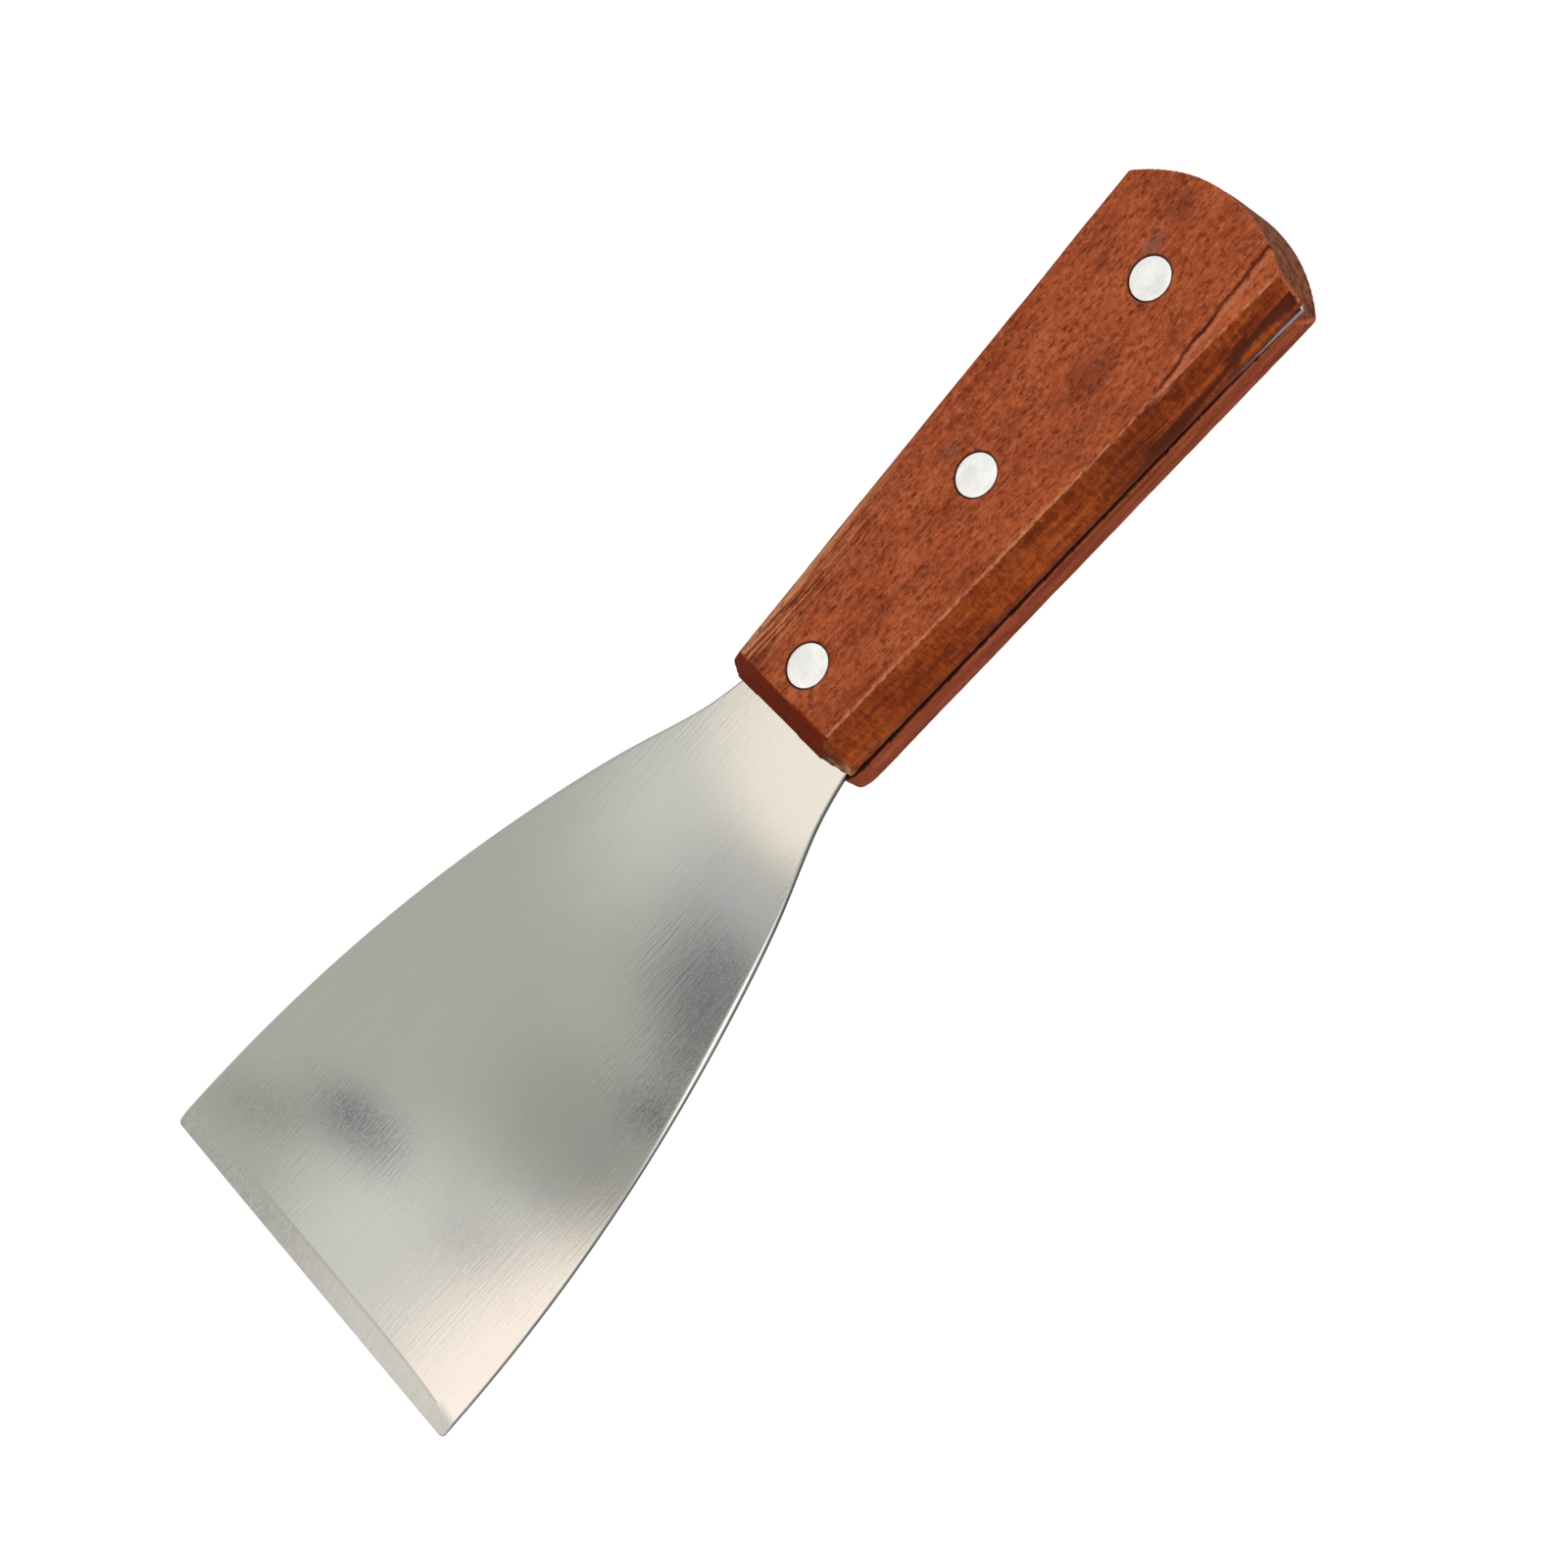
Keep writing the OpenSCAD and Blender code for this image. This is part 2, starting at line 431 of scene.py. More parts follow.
def make_rivets(material):
    for place, rivet in RIVETS.items():
        under_head = rivet["top_z"] - HEAD_T
        profile = head_profile(rivet["head_r"], rivet["top_z"], under_head)
        end = rivet["pin_end_z"]
        profile += [(PIN_R + 0.15, under_head), (PIN_R, under_head - 0.15),
                    (PIN_R, end + 0.3), (PIN_R - 0.3, end), (0, end)]
        male = lathe(place + "_rivet_solid_half", profile, rivet["centre"])
        over_head = rivet["base_z"] + HEAD_T
        profile = head_profile(rivet["head_r"], rivet["base_z"], over_head)
        end = rivet["tube_end_z"]
        profile += [(TUBE_R + 0.1, over_head), (TUBE_R, over_head + 0.1),
                    (TUBE_R, end - 0.2), (TUBE_R - 0.2, end), (PIN_R + 0.1, end),
                    (PIN_R, end - 0.1), (PIN_R, PIN_BORE_FLOOR_Z), (0, PIN_BORE_FLOOR_Z)]
        female = lathe(place + "_rivet_hollow_half", profile, rivet["centre"])
        for piece, node in ((male, "male"), (female, "female")):
            shade(piece.data, RIVET_SHARP)
            piece.data.materials.append(material)
            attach(piece, "root")
            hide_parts(place + "_rivet_" + node)


# ---- scales
def side_y(x, front_y, butt_y):
    """Straight side line, from the handle's front end to its butt."""
    return front_y + (butt_y - front_y) * (FRONT_X - x) / (FRONT_X - BUTT_X)


# half widths of the handle at its front end and at its butt, on each side
UPPER_RIGHT = (14.0, 19.05)
UPPER_LEFT = (-13.95, -18.3)
LOWER_SIDE = (14.2, 18.95)
UPPER_EDGE_R = 0.24
LOWER_EDGE_R = 0.34
# sanding groove on the upper face, on the inner edge of the third facet
GROOVE_FROM = (BUTT_X + 29, 14.45)
GROOVE_TO = (BUTT_X + 1.4, 12.1)
GROOVE_R = 0.3


def upper_scale_shape():
    inner, outer = UPPER_LOW[2], UPPER_HIGH[2]
    land = inner + LAND_H
    middle = (-55, 0, (inner + outer) / 2)
    near, far = FRONT_X - 4, BUTT_X + 3
    right_near, right_far = side_y(near, *UPPER_RIGHT), side_y(far, *UPPER_RIGHT)
    left_near, left_far = side_y(near, *UPPER_LEFT), side_y(far, *UPPER_LEFT)
    faces = [
        Cut("face", (0, 0, outer), (1, 0, outer), (0, 1, outer), middle),
        # right side: the sanded facet, and the straight land under it
        Cut("side", (near, 11.3, outer), (far, 16.4, outer), (near, right_near, land),
            middle, 0.07, 0.035, 1),
        Cut("side", (near, right_near, 0), (far, right_far, 0), (near, right_near, 9),
            middle, 0.05, 0.0, 2, 0.0),
        # narrow third facet, which widens from the middle of the handle to the butt
        Cut("third", (BUTT_X + 30.2, 14.5, outer), (BUTT_X + 1.5, 12.1, outer),
            (BUTT_X + 3.6, 16.45, outer - 0.55), middle, 0.03, 0.0, 3, 0.75),
        # left side: a chamfer over a nearly upright face
        Cut("side", (near, -11.15, outer), (far, -16.25, outer),
            (near, left_near, outer - 4.2), middle, 0.07, 0.02, 4, 0.5),
        Cut("side", (near, left_near, 0), (far, left_far, 0), (near, left_near, 9),
            middle, 0.05, 0.0, 5, 0.3),
        # sloping front end, with its right-hand corner sanded back
        Cut("front", (FRONT_X + 0.15, -12.9, land), (FRONT_X - 0.55, 10, land),
            (FRONT_X - 3.76, -2.9, outer), middle, 0.03, 0.0, 6, 0.35),
        Cut("side", (FRONT_X - 4.3, 11.4, outer), (FRONT_X - 1.07, 10.4, land),
            (FRONT_X - 1.9, 13.55, land), middle, 0.06, 0.05, 7, 0.2),
        Arc((BUTT_X + 27.95, 3.4), 27.9, 0.05, 8),
        # the corner that lifts off the steel at the butt
        Cut("side", (BUTT_X + 11, 18.4, inner), (BUTT_X + 3, 18.2, inner + 0.6),
            (BUTT_X + 3.5, 14.4, inner), middle, 0.05, 0.0, 9, 0.0),
        Cut("inner", (0, 0, inner), (1, 0, inner), (0, 1, inner), middle, worn=0.0),
    ]
    groove = (GROOVE_FROM + (outer + 0.05,), GROOVE_TO + (outer + 0.05,), GROOVE_R)
    return Scale(faces, UPPER_EDGE_R, groove)


def lower_scale_shape():
    outer, inner = LOWER_LOW[2], LOWER_HIGH[2]
    land = inner - LAND_H
    middle = (-55, 0, (inner + outer) / 2)
    near, far = FRONT_X - 4, BUTT_X + 3
    half_near, half_far = side_y(near, *LOWER_SIDE), side_y(far, *LOWER_SIDE)
    faces = [
        Cut("face", (0, 0, outer), (1, 0, outer), (0, 1, outer), middle),
        Cut("side", (near, 11.6, outer), (far, 16.25, outer), (near, half_near, land),
            middle, 0.06, 0.02, 11),
        Cut("side", (near, half_near, 0), (far, half_far, 0), (near, half_near, 9),
            middle, 0.04, 0.0, 12, 0.0),
        Cut("side", (near, -11.6, outer), (far, -16.3, outer), (near, -half_near, land),
            middle, 0.06, 0.02, 13),
        Cut("side", (near, -half_near, 0), (far, -half_far, 0), (near, -half_near, 9),
            middle, 0.04, 0.0, 14, 0.0),
        Cut("front", (FRONT_X + 0.4, -12.9, land), (FRONT_X + 0.05, 9, land),
            (FRONT_X + 0.3, 9, outer), middle, 0.03, 0.0, 15, 0.35),
        # its right-hand front corner, rounded by hand
        Cut("front", (FRONT_X + 0.2, 9.4, outer), (FRONT_X - 0.45, 10.95, outer),
            (FRONT_X - 0.8, 13, land), middle, 0.03, 0.0, 17, 0.35),
        Cut("side", (FRONT_X - 0.55, 10.9, outer), (FRONT_X - 2.1, 11.5, outer),
            (FRONT_X - 1.8, 13.7, land), middle, 0.03, 0.0, 18, 0.35),
        Arc((BUTT_X + 28.3, -0.4), 27.95, 0.05, 16),
        Cut("inner", (0, 0, inner), (1, 0, inner), (0, 1, inner), middle, worn=0.0),
    ]
    return Scale(faces, LOWER_EDGE_R)


def rivet_cutters(face_z, head_inner_z, through_z):
    """Counterbored holes for the three rivets, a little past both faces."""
    beyond = math.copysign(1, face_z - through_z)
    start, end = face_z + beyond, through_z - beyond
    cutters = []
    for place, rivet in RIVETS.items():
        wide = rivet["head_r"] + HEAD_GAP
        profile = [(0, start), (wide, start), (wide, head_inner_z), (BORE_R, head_inner_z),
                   (BORE_R, end), (0, end)]
        cutters.append(lathe("cutter_" + place, profile, rivet["centre"]))
    return cutters


def make_scale(name, node, shape, low, high, cutters, material):
    vertices, quads = surface_net(shape.field, low, high, NET_STEP)
    vertices = settle(vertices, shape.field)
    vertices[:, 2] = np.clip(vertices[:, 2], low[2], high[2])
    vertices[:, 0] = np.maximum(vertices[:, 0], BUTT_X)
    piece = new_object(name, vertices, quads)
    drill(piece, cutters)
    mesh = piece.data
    points = vertex_array(mesh)
    kinds, wear = shape.describe(points)
    write_attribute(mesh, "wear", wear)
    for kind in ("side", "front", "butt", "third", "inner"):
        write_attribute(mesh, kind, kinds == kind)
    shade(mesh, SCALE_SHARP)
    mesh.materials.clear()
    mesh.materials.append(material)
    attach(piece, "root")
    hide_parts(node)
    return piece


# ---- blade
def blade_outline():
    """Half width of the blade and tang at each x."""
    side_cy = SIDE_R - BLADE_W / 2
    neck_cy = NECK_W / 2 + NECK_R
    reach = math.sqrt((SIDE_R + NECK_R) ** 2 - (neck_cy + side_cy) ** 2)
    neck_x = EDGE_X - reach
    touch_x = EDGE_X - reach * SIDE_R / (SIDE_R + NECK_R)
    flare_from, flare_to = FRONT_X - FLARE_AT, FRONT_X - FLARE_AT - FLARE_L
    slope = (TANG_BUTT_W - NECK_W) / 2 / (neck_x - BUTT_X)
    tang_x = [BUTT_X, flare_to, flare_from, neck_x]
    tang_y = [NECK_W / 2 + slope * (neck_x - at) for at in tang_x]
    tang_y[2] -= FLARE_IN

    def half_width(x):
        hollow = NECK_HOLLOW * np.exp(-(((x - NECK_HOLLOW_AT) / NECK_HOLLOW_L) ** 2))
        fan = np.sqrt(np.maximum(SIDE_R**2 - (x - EDGE_X) ** 2, 1)) - side_cy - hollow
        neck = neck_cy - np.sqrt(np.maximum(NECK_R**2 - (x - neck_x) ** 2, 1)) - hollow
        tang = np.interp(x, tang_x, tang_y)
        return np.where(x > touch_x, fan, np.where(x > neck_x, neck, tang))

    return half_width, neck_x


HALF_WIDTH, NECK_X = blade_outline()


def blade_middle(x):
    """The neck leans a little to one side of the middle line."""
    return NECK_LEAN * np.exp(-(((x - NECK_X - 24) / 20) ** 2))


def bevel_line_x(y):
    """The bevel narrows by 1 mm towards the corners, where the grinder dwelt less."""
    return EDGE_X - BEVEL_W - 0.25 + 1.0 * (y / (BLADE_W / 2)) ** 4


def edge_line_x(y):
    """The working edge is worn back a little at its corners."""
    return EDGE_X - EDGE_SAG * (y / (BLADE_W / 2)) ** 2


def butt_line_x(y):
    """The tang's rounded end."""
    centre_x = BUTT_X + TANG_END_R + TANG_END_RECESS
    return centre_x - np.sqrt(TANG_END_R**2 - (y - TANG_SKEW) ** 2)


def sheet_warp(x, y):
    """Slight unevenness of the rolled sheet, in mm, only outside the handle."""
    out = np.clip((x - FRONT_X - 4) / 25, 0, 1)
    points = np.stack([x, y, np.zeros_like(x)], axis=-1)
    bends = 0.035 * value_noise(points, (34, 22, 50), 21)
    bends += 0.01 * value_noise(points, (13, 9, 50), 22)
    return out * out * (3 - 2 * out) * bends


# points across the sheet, along it, and round each of its four long edges
ACROSS = 65
ALONG = 176
SIDE_STEPS = 4
# top edges rolled over by shearing, most where the blade starts to widen
ROLL_W = 0.28
ROLL_EXTRA_W = 0.55
ROLL_WIDEST_X = 36.0
ROLL_SLOPE = 0.3
# lower edges, and how level a face may be and still count as the rim, which gets a painted
# dark reflection
BURR_R = 0.1
PAINTED_RIM_LEVEL = 0.75


def blade_section(x, rails, top, low, corner_trim):
    """One closed ring across the sheet: top from -Y to +Y, then back underneath.

    The top edges roll over as shearing leaves them, the lower ones stay crisp.
    """
    half = HALF_WIDTH(x) - corner_trim
    middle = blade_middle(x)
    roll_w = ROLL_W + ROLL_EXTRA_W * np.exp(-(((x - ROLL_WIDEST_X) / 19) ** 2))
    roll_d = np.minimum(ROLL_SLOPE * roll_w, 0.5 * (top + low))
    warp = sheet_warp(x, middle + rails * half)
    turns = [math.pi / 2 * step / SIDE_STEPS for step in range(1, SIDE_STEPS + 1)]

    def corner(at, side, turn, width, depth, face):
        y = middle[at] + side * (half[at] - width * (1 - math.sin(turn)))
        z = face - depth * (1 - math.cos(turn)) + warp[at]
        return [[x[at], y, BLADE_MID_Z + z]]

    def rolled(at, side, turn):
        return corner(at, side, turn, roll_w[at], roll_d[at], top[at])

    def crisp(at, side, turn):
        return corner(at, side, turn, BURR_R, -BURR_R, -low[at])

    over = np.stack([x, middle + rails * (half - roll_w), BLADE_MID_Z + top + warp], axis=1)
    under = np.stack([x, middle + rails * (half - BURR_R), BLADE_MID_Z - low + warp], axis=1)
    ring = [over]
    ring += [rolled(-1, 1, turn) for turn in turns]
    ring += [crisp(-1, 1, turn) for turn in reversed(turns)]
    ring += [under[::-1]]
    ring += [crisp(0, -1, turn) for turn in turns]
    ring += [rolled(0, -1, turn) for turn in reversed(turns)]
    return np.concatenate(ring)


def blade_sections():
    """Rings from the butt to the working edge, closer together on the bevel."""
    rails = np.sin(np.linspace(-math.pi / 2, math.pi / 2, ACROSS) * 0.86)
    rails /= rails[-1]
    taper_from = FRONT_X + 1
    sections = []

    def station(share_to_bevel, share_past_bevel):
        y = rails * 30.0
        for _ in range(6):
            start = butt_line_x(np.clip(y, -19.5, 19.5))
            bevel, edge = bevel_line_x(y), edge_line_x(y)
            x = start + (bevel - start) * share_to_bevel + (edge - bevel) * share_past_bevel
            y = rails * HALF_WIDTH(x) + blade_middle(x)
        bevel_x = EDGE_X - BEVEL_W
        taper = np.clip((x - taper_from) / (bevel_x - taper_from), 0, 1)
        half_t = BLADE_T / 2 + (TIP_T - BLADE_T) / 2 * taper
        top = half_t - (TIP_T - EDGE_T) * share_past_bevel
        to_edge = np.maximum(CORNER_R - (edge_line_x(y) - x), 0) * (share_past_bevel > 0)
        trim = CORNER_R - np.sqrt(np.maximum(CORNER_R**2 - to_edge**2, 0))
        sections.append(blade_section(x, rails, top, half_t, trim[0] * 0.999))

    for share in np.linspace(0, 1, ALONG):
        station(share, 0.0)
    for share in (0.2, 0.4, 0.6, 0.75, 0.82, 0.88, 0.93, 0.97, 1.0):
        station(1.0, share)
    return sections


def make_blade(material):
    """Skins the rings, closes both ends, drills the tang and marks the bevel and the rim that
    gets a painted dark reflection.
    """
    sections = blade_sections()
    count = len(sections[0])
    faces = []
    for row in range(len(sections) - 1):
        for i in range(count):
            j = (i + 1) % count
            a, b = row * count, (row + 1) * count
            faces.append([a + i, b + i, b + j, a + j])
    for row, flip in ((0, False), (len(sections) - 1, True)):
        base = row * count
        far_low = ACROSS + 2 * SIDE_STEPS
        for i in range(ACROSS - 1):
            low_i = far_low + ACROSS - 1 - i
            cap = [base + i, base + i + 1, base + low_i - 1, base + low_i]
            faces.append(cap[::-1] if flip else cap)
        right = [base + ACROSS - 1 + k for k in range(2 * SIDE_STEPS + 2)]
        left = [base + (far_low + ACROSS - 1 + k) % count for k in range(2 * SIDE_STEPS + 2)]
        faces.append(right[::-1] if flip else right)
        faces.append(left[::-1] if flip else left)
    piece = new_object("ground_blade", np.concatenate(sections), faces)
    low, high = TANG_LOW_Z - 1, TANG_TOP_Z + 1
    bore = [(0, low), (TANG_BORE_R, low), (TANG_BORE_R, high), (0, high)]
    drill(piece, [lathe("tang_cutter_" + place, bore, rivet["centre"])
                  for place, rivet in RIVETS.items()])
    mesh = piece.data
    points = vertex_array(mesh)
    past_bevel = points[:, 0] - bevel_line_x(points[:, 1])
    write_attribute(mesh, "bevel", past_bevel > 0.02)
    normals = np.empty(len(points) * 3)
    mesh.vertices.foreach_get("normal", normals)
    level = np.abs(normals.reshape(-1, 3)[:, 2])
    out = (points[:, 0] > BUTT_X + 1) & (points[:, 0] < EDGE_X - 0.01)
    # rim: the upright faces, which the steel material paints dark as a painted dark reflection
    write_attribute(mesh, "rim", out * np.clip((PAINTED_RIM_LEVEL - level) / 0.2, 0, 1))
    shade(mesh, BLADE_SHARP)
    on_line = (np.abs(past_bevel) < 0.02) & (points[:, 2] > BLADE_MID_Z)
    for edge in mesh.edges:
        if on_line[edge.vertices[0]] and on_line[edge.vertices[1]]:
            edge.use_edge_sharp = True
    brushed = mesh.uv_layers.new(name="brushing")
    corners = np.empty(len(mesh.loops), int)
    mesh.loops.foreach_get("vertex_index", corners)
    brushed.data.foreach_set("uv", (points[corners][:, :2] / 100 + 0.5).ravel())
    mesh.materials.clear()
    mesh.materials.append(material)
    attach(piece, "root")
    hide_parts("blade")
    return piece


# ---- materials
class Nodes:
    """Short calls for one material's node tree. Coordinates are millimetres."""

    def __init__(self, name):
        self.material = bpy.data.materials.new(name)
        self.material.use_nodes = True
        self.tree = self.material.node_tree
        self.tree.nodes.clear()
        self.output = self.add("OutputMaterial")
        place = self.add("TexCoord").outputs["Object"]
        self.mm = self.vector("MULTIPLY", place, (1 / MM,) * 3)

    def add(self, kind, inputs=None, **settings):
        node = self.tree.nodes.new("ShaderNode" + kind)
        for key, value in settings.items():
            setattr(node, key, value)
        for key, value in (inputs or {}).items():
            if isinstance(value, bpy.types.NodeSocket):
                self.tree.links.new(value, node.inputs[key])
            else:
                node.inputs[key].default_value = value
        return node

    def vector(self, operation, a, b):
        return self.add("VectorMath", {0: a, 1: b}, operation=operation).outputs[0]

    def stretch(self, scale, vector=None):
        """Coordinates times a scale on each axis, in cells per millimetre."""
        return self.vector("MULTIPLY", vector or self.mm, scale)

    def turn(self, degrees, vector=None):
        turned = self.add("VectorRotate", {"Vector": vector or self.mm,
                          "Angle": math.radians(degrees)}, rotation_type="Z_AXIS")
        return turned.outputs[0]

    def noise(self, scale, detail=3.0, rough=0.5, vector=None, warp=0.0, colour=False):
        node = self.add("TexNoise", {"Vector": self.stretch(scale, vector),
                        "Scale": 1.0, "Detail": detail, "Roughness": rough,
                        "Distortion": warp})
        return node.outputs["Color" if colour else "Fac"]

    def wander(self, place, scale, detail, rough, reach):
        """Coordinates pushed about by noise, by up to half the reach on each axis."""
        push = self.noise(scale, detail, rough, colour=True)
        push = self.stretch(reach, self.vector("SUBTRACT", push, (0.5,) * 3))
        return self.vector("ADD", place, push)

    def math(self, operation, a, b=0.0, clamp=False):
        return self.add("Math", {0: a, 1: b}, operation=operation,
                        use_clamp=clamp).outputs[0]

    def times(self, first, *others):
        for other in others:
            first = self.math("MULTIPLY", first, other)
        return first

    def plus(self, first, *others):
        for other in others:
            first = self.math("ADD", first, other)
        return first

    def step(self, value, start, end):
        """Smooth rise from 0 at start to 1 at end."""
        node = self.add("MapRange", {"Value": value, "From Min": start,
                        "From Max": end}, interpolation_type="SMOOTHSTEP")
        return node.outputs["Result"]

    def range(self, value, low, high):
        """A 0 to 1 value brought between two levels."""
        node = self.add("MapRange", {"Value": value, "To Min": low,
                        "To Max": high})
        return node.outputs["Result"]

    def mix(self, share, a, b):
        """Colour a, or colour b where share is 1."""
        node = self.add("Mix", data_type="RGBA")
        for index, value in ((0, share), (6, a), (7, b)):
            if isinstance(value, bpy.types.NodeSocket):
                self.tree.links.new(value, node.inputs[index])
            elif index:
                node.inputs[index].default_value = tuple(value) + (1.0,)
            else:
                node.inputs[index].default_value = value
        return node.outputs[2]

    def tint(self, colour, mask, amount, tone):
        """A colour brought towards a tone, by the amount where the mask is 1."""
        return self.mix(self.range(mask, 0.0, amount), colour, tone)

    def ramp(self, value, stops):
        node = self.add("ValToRGB", {"Fac": value})
        marks = node.color_ramp.elements
        while len(marks) < len(stops):
            marks.new(0.5)
        for mark, (position, colour) in zip(marks, stops):
            mark.position = position
            mark.color = tuple(colour) + (1.0,)
        return node.outputs["Color"]

    def attribute(self, name):
        return self.add("Attribute", attribute_name=name).outputs["Fac"]

    def part(self, axis, vector=None):
        split = self.add("SeparateXYZ", {0: vector or self.mm})
        return split.outputs[axis]

    def away(self, centre, radii=(1, 1), vector=None):
        """Distance from an upright line, in shares of the radii along X and Y."""
        place = self.vector("SUBTRACT", vector or self.mm, (centre[0], centre[1], 0))
        flat = self.stretch((1 / radii[0], 1 / radii[1], 0), place)
        return self.add("VectorMath", {0: flat}, operation="LENGTH").outputs[1]

    def spot(self, centre, radii, vector=None, softness=1.0):
        """1 in the middle of a soft oval on the XY plane, 0 outside it."""
        return self.step(self.away(centre, radii, vector), 1.0, 1.0 - softness)

    def bump(self, height, distance_mm, strength):
        return self.add("Bump", {"Height": height, "Distance": distance_mm * MM,
                        "Strength": strength}).outputs[0]

    def finish(self, inputs):
        shader = self.add("BsdfPrincipled", inputs)
        self.tree.links.new(shader.outputs[0], self.output.inputs["Surface"])
        return self.material


def line_mask(n, start, end, half_width, fade):
    """1 on a slightly wavering line across the XY plane, 0 beyond its soft edges."""
    slope = (end[1] - start[1]) / (end[0] - start[0])
    waver = n.range(n.noise((0.22, 0.05, 0.05), 3.0, 0.65), -0.55, 0.55)
    on_line = n.plus(n.times(n.part(0), slope), start[1] - slope * start[0], waver)
    away = n.math("ABSOLUTE", n.math("SUBTRACT", n.part(1), on_line))
    return n.step(away, half_width + fade, half_width)


def broad_face(n, grain, fibre, mottle):
    """Reddish brown outer face, with pale and dark streaks by its left front edge."""
    cloud = n.noise((0.10, 0.20, 0.20), 5.0, 0.62, grain)
    face = n.ramp(cloud, [
        (0.30, (0.240, 0.043, 0.012)),
        (0.46, (0.345, 0.070, 0.021)),
        (0.58, (0.390, 0.084, 0.026)),
        (0.74, (0.460, 0.118, 0.039)),
    ])
    face = n.tint(face, n.step(mottle, 0.50, 0.68), 0.60, (0.55, 0.155, 0.058))
    face = n.tint(face, n.step(mottle, 0.50, 0.34), 0.85, (0.140, 0.024, 0.008))
    face = n.tint(face, n.step(fibre, 0.52, 0.36), 0.45, (0.130, 0.022, 0.008))

    x, y = n.part(0), n.part(1)
    edge_y = n.plus(y, n.times(x, -0.055))
    streak = n.noise((0.085, 2.1, 2.1), 4.0, 0.6, grain)
    band = n.times(n.step(edge_y, -3.5, -9.5), n.step(x, -52.0, -14.0))
    pale = n.times(band, n.step(streak, 0.51, 0.58))
    dark = n.times(band, n.step(streak, 0.50, 0.42))
    face = n.tint(face, pale, 0.80, (0.56, 0.235, 0.105))
    face = n.tint(face, dark, 0.90, (0.060, 0.012, 0.006))
    rim = n.times(n.step(edge_y, -9.1, -10.4), n.step(x, -62.0, -20.0))
    face = n.tint(face, rim, 0.75, (0.52, 0.22, 0.10))

    # stains: beside two rivets, between them and by the butt
    for centre, radii, amount, tone in (
        ((-94.4, -3.6), (3.6, 2.2), 0.75, (0.150, 0.088, 0.066)),
        ((-51.4, -6.4), (3.6, 2.2), 0.55, (0.160, 0.076, 0.052)),
        ((-73.5, 3.6), (8.5, 4.2), 0.55, (0.115, 0.026, 0.013)),
        ((-101.0, -4.5), (4.0, 4.5), 0.55, (0.120, 0.028, 0.014)),
        ((-68.0, 9.0), (10.0, 3.0), 0.35, (0.120, 0.028, 0.014)),
    ):
        stain = n.times(n.spot(centre, radii), n.step(mottle, 0.28, 0.55))
        face = n.tint(face, stain, amount, tone)

    # the third facet is a little paler
    pink = n.times(n.attribute("third"), n.range(mottle, 0.05, 0.40))
    return n.mix(pink, face, (0.47, 0.120, 0.046))


def sanding_groove(n, colour):
    """Dark line on the inner edge of the third facet, with a paler ridge beside it."""
    by_front = n.step(n.part(0), GROOVE_FROM[0] + 3, GROOVE_FROM[0] - 3)
    here = n.times(by_front, n.step(n.part(2), UPPER_HIGH[2] - 1.2, UPPER_HIGH[2] - 0.8))
    ridge_from = (GROOVE_FROM[0], GROOVE_FROM[1] + 0.75)
    ridge = line_mask(n, ridge_from, (GROOVE_TO[0], GROOVE_TO[1] + 1.1), 0.10, 0.50)
    colour = n.tint(colour, n.times(ridge, here), 0.45, (0.55, 0.175, 0.080))
    depth = n.range(n.noise((0.16, 0.3, 0.3), 3.0), 0.45, 1.25)
    line = n.times(line_mask(n, GROOVE_FROM, GROOVE_TO, 0.16, 0.34), here)
    line = n.math("MULTIPLY", line, depth, clamp=True)
    return n.mix(line, colour, (0.070, 0.011, 0.006))


def sanded_side(n, grain, fibre, cross):
    """Golden brown upper facets with dark bands, and redder lower ones."""
    flow = n.noise((0.045, 0.30, 0.45), 4.0, 0.62, grain)
    side = n.ramp(flow, [
        (0.34, (0.075, 0.011, 0.002)),
        (0.45, (0.160, 0.024, 0.003)),
        (0.57, (0.222, 0.037, 0.005)),
        (0.72, (0.325, 0.071, 0.011)),
    ])
    side = n.tint(side, n.step(cross, 0.46, 0.68), 0.32, (0.43, 0.105, 0.024))
    side = n.tint(side, n.step(cross, 0.52, 0.36), 0.44, (0.075, 0.011, 0.003))
    side = n.tint(side, n.step(fibre, 0.56, 0.38), 0.40, (0.070, 0.011, 0.003))
    x, y, z = n.part(0), n.part(1), n.part(2)

    # dark figure along the rear of the right side
    figure = n.noise((0.04, 0.32, 0.42), 3.0, 0.6, grain, warp=0.6)
    rear = n.times(n.step(x, -60.0, -76.0), n.step(z, 15.2, 13.4), n.step(y, 0.0, 1.0),
                   n.step(figure, 0.43, 0.53))
    side = n.tint(side, rear, 0.84, (0.040, 0.009, 0.003))

    # the lower scale's sides, paler by the slit, over which the upper ones are darker
    low_side = n.step(z, BLADE_MID_Z, BLADE_MID_Z - 0.3)
    above_slit = n.step(z, BLADE_MID_Z, BLADE_MID_Z + 0.4)
    reddish = n.ramp(n.noise((0.07, 0.4, 0.5), 4.0, 0.6, grain), [
        (0.35, (0.155, 0.027, 0.008)),
        (0.60, (0.245, 0.050, 0.017)),
        (0.75, (0.310, 0.088, 0.034)),
    ])
    side = n.mix(low_side, side, reddish)
    slit_rim = n.times(n.step(z, TANG_LOW_Z - 0.8, TANG_LOW_Z - 0.2), low_side)
    side = n.tint(side, slit_rim, 0.35, (0.38, 0.12, 0.055))
    near_slit = n.times(n.step(z, TANG_TOP_Z + 1.8, TANG_TOP_Z + 0.1), above_slit)
    side = n.tint(side, near_slit, 0.60, (0.100, 0.018, 0.006))

    # rough grey-tan patch at the foot of the right-hand front corner
    patch = n.times(n.step(x, FRONT_X - 4.2, FRONT_X - 1.8), n.step(z, 12.0, 9.4),
                    n.step(y, 6.0, 9.5), above_slit, n.step(cross, 0.40, 0.60))
    return n.tint(side, patch, 0.85, (0.400, 0.235, 0.130))


